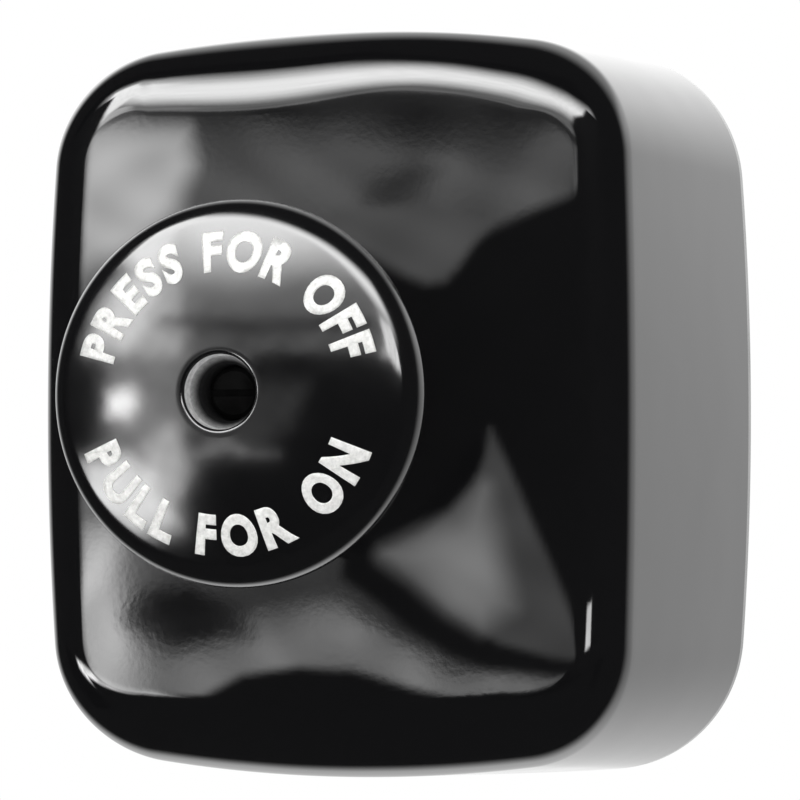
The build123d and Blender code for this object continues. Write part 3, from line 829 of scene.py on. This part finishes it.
# %% Papers on the sheet
SHEET_HEIGHT = 77.0
SHEET_STEP = 0.75
PAPER_MOTTLING = 0.15
BLACK = 0.02
PAPERS = {
    "right": (
        [(40.5, 48), (40.4, -32), (40, -48), (300, -60), (300, 79), (60, 71), (52, 60), (44, 54)], 2.5, BLACK,
    ),
    "middle": (
        [(60, 42), (40, 34.9), (31.8, 31.7), (23.7, 28.1), (20.4, 25.7), (18.3, 22), (15.5, 19.8),
         (13, 20.2), (9.5, 23.2), (6, 26.9), (-1.8, 27.1), (-8.5, 0.7), (-3.3, -19.1), (6.1, -23.7),
         (24, -4), (39.5, -40.7), (60, -40)],
        3.0, BLACK,
    ),
    "bottom": (
        [(-57, -50.5), (-45.8, -50), (-36.5, -50), (-27.2, -48.3), (-19.9, -44.6), (-9.1, -43),
         (-0.4, -43.6), (8.1, -45.9), (16.5, -48), (28, -49.6), (60, -50.5), (60, -95), (-60, -95)],
        2.2, BLACK,
    ),
    "band": (
        [(-0.9, -24.5), (6.1, -23.9), (25, -39), (40.5, -42.6), (40, -45.2), (31.4, -44.4), (23.3, -43.4),
         (16.7, -41.2), (10.9, -37.6), (5.1, -33), (-1.4, -28.2)],
        2.4, BLACK,
    ),
    "pale_triangle": (
        [(24.1, -4.2), (23.9, -4.2), (23.2, -8.5), (21.3, -13.4), (17.2, -17.8), (12.1, -21.9),
         (6.1, -24), (11.1, -28.4), (16.9, -33.7), (25, -38.9), (33.1, -41.2), (39.4, -42.1),
         (35.1, -30.3), (30.4, -19.1), (26.5, -9.4)],
        2.0, 0.75,
    ),
    "paler_corner": (
        [(18.5, -19), (6.1, -24.6), (11.1, -28), (17, -33), (22, -36), (27, -33), (23, -14)], 7.0, 2.9,
    ),
    "pale_notch": (
        [(-3, 31.5), (-3, 27), (3, 24.5), (6.5, 22.6), (10, 20.8), (13.5, 19.4), (16.5, 19.8),
         (18.5, 22.3), (21, 26), (23.5, 29), (14, 32.5)],
        2.8, 1.1,
    ),
    "pale_left": ([(-50, 46.5), (-30, 46), (-28.5, 40), (-31, 33), (-37, 27), (-50, 23)], 7.0, 7.0),
    "left": (
        [(-300, -60), (-49, -46), (-49.7, -39), (-48.5, -25), (-48.7, 35), (-49, 49), (-55, 62), (-62, 76),
         (-300, 79)],
        2.5, BLACK,
    ),
    "pale_strip": ([(48, -33.5), (52.3, -33), (51.8, -40.5), (47, -41.3)], 1.0, 9.0),
}

# %% Hang the sheet


def sheet_film():
    """Towards the wall, opaque by each point's shade and shining by its glow; clear on the other side."""
    material = glowing("sheet_film", "glow")
    tree = material.node_tree
    side = tree.nodes.new("ShaderNodeNewGeometry")
    opaque = tree.nodes.new("ShaderNodeMath")
    opaque.operation = "SUBTRACT"
    opaque.use_clamp = True
    tree.links.new(point_value(tree, "shade"), opaque.inputs[0])
    tree.links.new(side.outputs["Backfacing"], opaque.inputs[1])
    clear = tree.nodes.new("ShaderNodeBsdfTransparent")
    mixer = tree.nodes.new("ShaderNodeMixShader")
    tree.links.new(opaque.outputs["Value"], mixer.inputs["Fac"])
    tree.links.new(clear.outputs["BSDF"], mixer.inputs[1])
    tree.links.new(tree.nodes["Emission"].outputs["Emission"], mixer.inputs[2])
    tree.links.new(mixer.outputs["Shader"], tree.nodes["Material Output"].inputs["Surface"])
    return material


near = np.arange(-61, 61.5, SHEET_STEP)
columns = np.concatenate([np.linspace(-300, -62, 8), near, np.linspace(62.5, 300, 8)])
sheet_z, sheet_x = np.meshgrid(np.arange(-98, 80.5, SHEET_STEP), columns, indexing="ij")
shade = np.zeros(sheet_x.shape)
light = np.zeros(sheet_x.shape)
for *shape, level in PAPERS.values():
    paper = card_shape(sheet_x, sheet_z, *shape)
    shade = shade * (1 - paper) + paper
    light = light * (1 - paper) + level * paper
mottling = np.sin(0.33 * sheet_x + 1.2 * np.sin(0.21 * sheet_z)) * np.sin(0.42 * sheet_z)
glow = light / np.maximum(shade, 0.001) * (1 + PAPER_MOTTLING * mottling)
sheet_points = np.stack([sheet_x, np.full(sheet_x.shape, -SHEET_HEIGHT), sheet_z], axis=-1) * MM
sheet_faces = grid_faces(*sheet_x.shape, close_rows=False, close_columns=False)
sheet = hang("sheet", sheet_points, sheet_faces, sheet_film())
for value_name, values in (("shade", shade), ("glow", glow)):
    sheet.attributes.new(value_name, "FLOAT", "POINT").data.foreach_set("value", values.ravel())
print("papers on the sheet:", len(PAPERS), "points:", sheet_x.size)

# %% White behind, dark in front
FRONT_LEVEL = 0.02
BACK_BEGINS = (0.36, 0.72)
EYE_LEVEL, RISE, CURVE = 1.05, 1.1, 3.2
BRIGHTEST = 1.8
OVERHEAD = (0.42, 0.62)
OVERHEAD_SHARE = 0.55


def surround():
    """White to the camera, even to the object's colours, dark in front and white behind to its gloss.

    Behind, the brightness is 1.05 + 1.1 Z + 3.2 Z squared, up to 1.8, where Z is the direction's
    height: the studio wall is dimmest a little below eye level and brighter above and below that.
    Overhead it falls to a little more than half, so that the top edge isn't lost in the white.
    """
    world = bpy.data.worlds.new("surround")
    bpy.context.scene.world = world
    world.use_nodes = True
    tree = world.node_tree
    tree.nodes.clear()

    def maths(operation, first, second):
        node = tree.nodes.new("ShaderNodeMath")
        node.operation = operation
        for socket, value in zip(node.inputs, (first, second)):
            if isinstance(value, float):
                socket.default_value = value
            else:
                tree.links.new(value, socket)
        return node.outputs["Value"]

    direction = tree.nodes.new("ShaderNodeTexCoord")
    split = tree.nodes.new("ShaderNodeSeparateXYZ")
    tree.links.new(direction.outputs["Generated"], split.inputs["Vector"])
    height = split.outputs["Z"]
    curve = maths("MULTIPLY", maths("MULTIPLY", height, height), CURVE)
    level = maths("ADD", maths("ADD", curve, maths("MULTIPLY", height, RISE)), EYE_LEVEL)
    is_behind = carry_over(tree, split.outputs["Y"], *BACK_BEGINS, 0.0, 1.0)
    overhead = carry_over(tree, height, *OVERHEAD, 1.0, OVERHEAD_SHARE)
    wall = maths("MULTIPLY", maths("MINIMUM", level, BRIGHTEST), overhead)
    behind = maths("MULTIPLY", wall, is_behind)
    around = tree.nodes.new("ShaderNodeBackground")
    tree.links.new(maths("MAXIMUM", behind, FRONT_LEVEL), around.inputs["Strength"])
    plain = tree.nodes.new("ShaderNodeBackground")
    plain.inputs["Strength"].default_value = 1.0
    for background in (around, plain):
        background.inputs["Color"].default_value = (1, 1, 1, 1)
    path = tree.nodes.new("ShaderNodeLightPath")
    seen_plain = maths("MAXIMUM", path.outputs["Is Camera Ray"], path.outputs["Is Diffuse Ray"])
    mixer = tree.nodes.new("ShaderNodeMixShader")
    output = tree.nodes.new("ShaderNodeOutputWorld")
    tree.links.new(seen_plain, mixer.inputs["Fac"])
    tree.links.new(around.outputs["Background"], mixer.inputs[1])
    tree.links.new(plain.outputs["Background"], mixer.inputs[2])
    tree.links.new(mixer.outputs["Shader"], output.inputs["Surface"])


surround()
bpy.context.scene.view_settings.view_transform = "Standard"
print("the surround is", FRONT_LEVEL, "in front and up to", BRIGHTEST, "behind")

# %% [markdown]
# ## The camera
#
# The photograph was taken from the right, level with the box and close by: the wall side looks
# smaller than the front. The camera's distance and angle were fitted to the outlines of the box
# and of the knob.

# %% Camera
IMAGE_PX = 800
SENSOR_MM = 36.0
CAMERA_DISTANCE = 0.6977
CAMERA_AZIMUTH = np.radians(17.02)
CAMERA_ELEVATION = np.radians(-1.645)
PX_PER_MM_AT_WALL = 6.009
ORIGIN_PX = (439.5, 412.25)
towards_camera = Vector((
    np.sin(CAMERA_AZIMUTH) * np.cos(CAMERA_ELEVATION),
    -np.cos(CAMERA_AZIMUTH) * np.cos(CAMERA_ELEVATION),
    np.sin(CAMERA_ELEVATION),
))
camera_data = bpy.data.cameras.new("camera")
camera_data.sensor_width = SENSOR_MM
camera_data.lens = PX_PER_MM_AT_WALL * CAMERA_DISTANCE / MM * SENSOR_MM / IMAGE_PX
camera_data.shift_x = -(ORIGIN_PX[0] - IMAGE_PX / 2) / IMAGE_PX
camera_data.shift_y = (ORIGIN_PX[1] - IMAGE_PX / 2) / IMAGE_PX
camera = bpy.data.objects.new("camera", camera_data)
bpy.context.scene.collection.objects.link(camera)
camera.location = towards_camera * CAMERA_DISTANCE
camera.rotation_euler = (-towards_camera).to_track_quat("-Z", "Y").to_euler()
bpy.context.scene.camera = camera
print("lens", round(camera_data.lens, 1), "mm")
